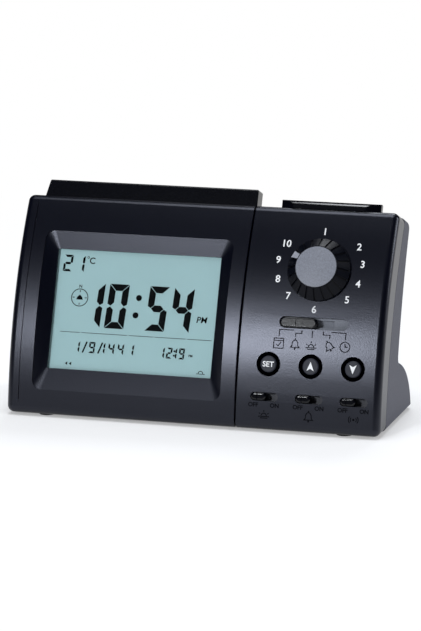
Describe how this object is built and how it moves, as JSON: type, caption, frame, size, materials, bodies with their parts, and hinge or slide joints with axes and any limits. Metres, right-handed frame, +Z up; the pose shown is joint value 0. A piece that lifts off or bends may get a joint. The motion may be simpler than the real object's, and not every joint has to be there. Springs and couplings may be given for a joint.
{
  "type": "azan desk clock",
  "caption": "Leaning desk clock for prayer times with a large display, a rotary selector, slide switches, push buttons and two keys on top.",
  "frame": {"origin": "On the table, at the middle of the clock's outline seen from above", "axes": "+X to the right seen from the front, +Y to the back, +Z up"},
  "size_m": [0.165, 0.0571, 0.0961],
  "materials": {
    "front_plastic": "fine-grained black ABS with a slight sheen",
    "rear_plastic": "textured dark grey ABS",
    "key_plastic": "smooth black ABS",
    "knob_plastic": "satin dark grey ABS",
    "clear_lens": "clear acrylic pane",
    "lcd_glass": "grey-green liquid crystal panel",
    "holder_plastic": "white moulded plastic",
    "light_guide": "milky light-spreading acrylic",
    "contact_rubber": "striped contact rubber",
    "circuit_board": "green solder mask on glass fibre",
    "component_plastic": "black component plastic",
    "switch_steel": "tinned switch cover",
    "contact_steel": "nickel-plated spring steel",
    "basket_steel": "pressed zinc-plated steel",
    "speaker_paper": "black pressed paper",
    "ferrite": "ferrite magnet",
    "cell_jacket": "plain printed steel can",
    "screw_steel": "zinc-plated steel",
    "foot_rubber": "soft black rubber"
  },
  "bodies": {
    "case": {"display_bezel": "front_plastic", "control_panel": "front_plastic", "rear_housing": "rear_plastic", "display_lens": "clear_lens", "lcd_glass": "lcd_glass", "lcd_holder": "holder_plastic", "light_guide": "light_guide", "zebra_strip": "contact_rubber", "main_circuit_board": "circuit_board", "key_circuit_board": "circuit_board", "selector_board": "circuit_board", "snooze_switch_board": "circuit_board", "azan_switch_board": "circuit_board", "board_components": "component_plastic", "key_switches": "component_plastic", "top_switches": "component_plastic", "slide_switches": "switch_steel", "mode_switch": "switch_steel", "selector_switch": "component_plastic", "battery_cells": "cell_jacket", "battery_contacts": "contact_steel", "battery_spring": "contact_steel", "speaker_frame": "basket_steel", "speaker_cone": "speaker_paper", "speaker_magnet": "ferrite", "housing_screws": "screw_steel", "board_screws": "screw_steel", "rubber_feet": "foot_rubber"},
    "selector": {"selector_knob": "knob_plastic", "selector_shaft": "holder_plastic"},
    "mode_slider": {"mode_slider": "key_plastic"},
    "prayer_slider": {"prayer_slider": "key_plastic"},
    "alarm_slider": {"alarm_slider": "key_plastic"},
    "buzzer_slider": {"buzzer_slider": "key_plastic"},
    "set_button": {"set_button": "key_plastic"},
    "up_button": {"up_button": "key_plastic"},
    "down_button": {"down_button": "key_plastic"},
    "snooze_bar": {"snooze_bar": "key_plastic"},
    "azan_key": {"azan_key": "key_plastic"},
    "battery_door": {"battery_door": "rear_plastic"}
  },
  "joints": [
    {"name": "selector_turn", "type": "hinge", "parent": "case", "child": "selector", "pos_m": [0.0517, -0.00957, 0.06674], "axis": [0, -0.8933, 0.4494], "continuous": true},
    {"name": "mode_slide", "type": "slide", "parent": "case", "child": "mode_slider", "axis": [1, 0, 0], "range_m": [0, 0.0132]},
    {"name": "prayer_slide", "type": "slide", "parent": "case", "child": "prayer_slider", "axis": [1, 0, 0], "range_m": [0, 0.005]},
    {"name": "alarm_slide", "type": "slide", "parent": "case", "child": "alarm_slider", "axis": [1, 0, 0], "range_m": [0, 0.005]},
    {"name": "buzzer_slide", "type": "slide", "parent": "case", "child": "buzzer_slider", "axis": [1, 0, 0], "range_m": [0, 0.005]},
    {"name": "set_press", "type": "slide", "parent": "case", "child": "set_button", "axis": [0, 0.9682, -0.25], "range_m": [0, 0.0008], "stiffness_N_per_m": 1900},
    {"name": "up_press", "type": "slide", "parent": "case", "child": "up_button", "axis": [0, 0.9682, -0.25], "range_m": [0, 0.0008], "stiffness_N_per_m": 1900},
    {"name": "down_press", "type": "slide", "parent": "case", "child": "down_button", "axis": [0, 0.9682, -0.25], "range_m": [0, 0.0008], "stiffness_N_per_m": 1900},
    {"name": "snooze_press", "type": "slide", "parent": "case", "child": "snooze_bar", "axis": [0, -0.3746, -0.9272], "range_m": [0, 0.0008], "stiffness_N_per_m": 1900},
    {"name": "azan_press", "type": "slide", "parent": "case", "child": "azan_key", "axis": [0, -0.3746, -0.9272], "range_m": [0, 0.0008], "stiffness_N_per_m": 1900},
    {"name": "battery_door_hinge", "type": "hinge", "parent": "case", "child": "battery_door", "pos_m": [0, 0.02646, 0.0046], "axis": [-1, 0, 0], "range_deg": [0, 80]}
  ]
}
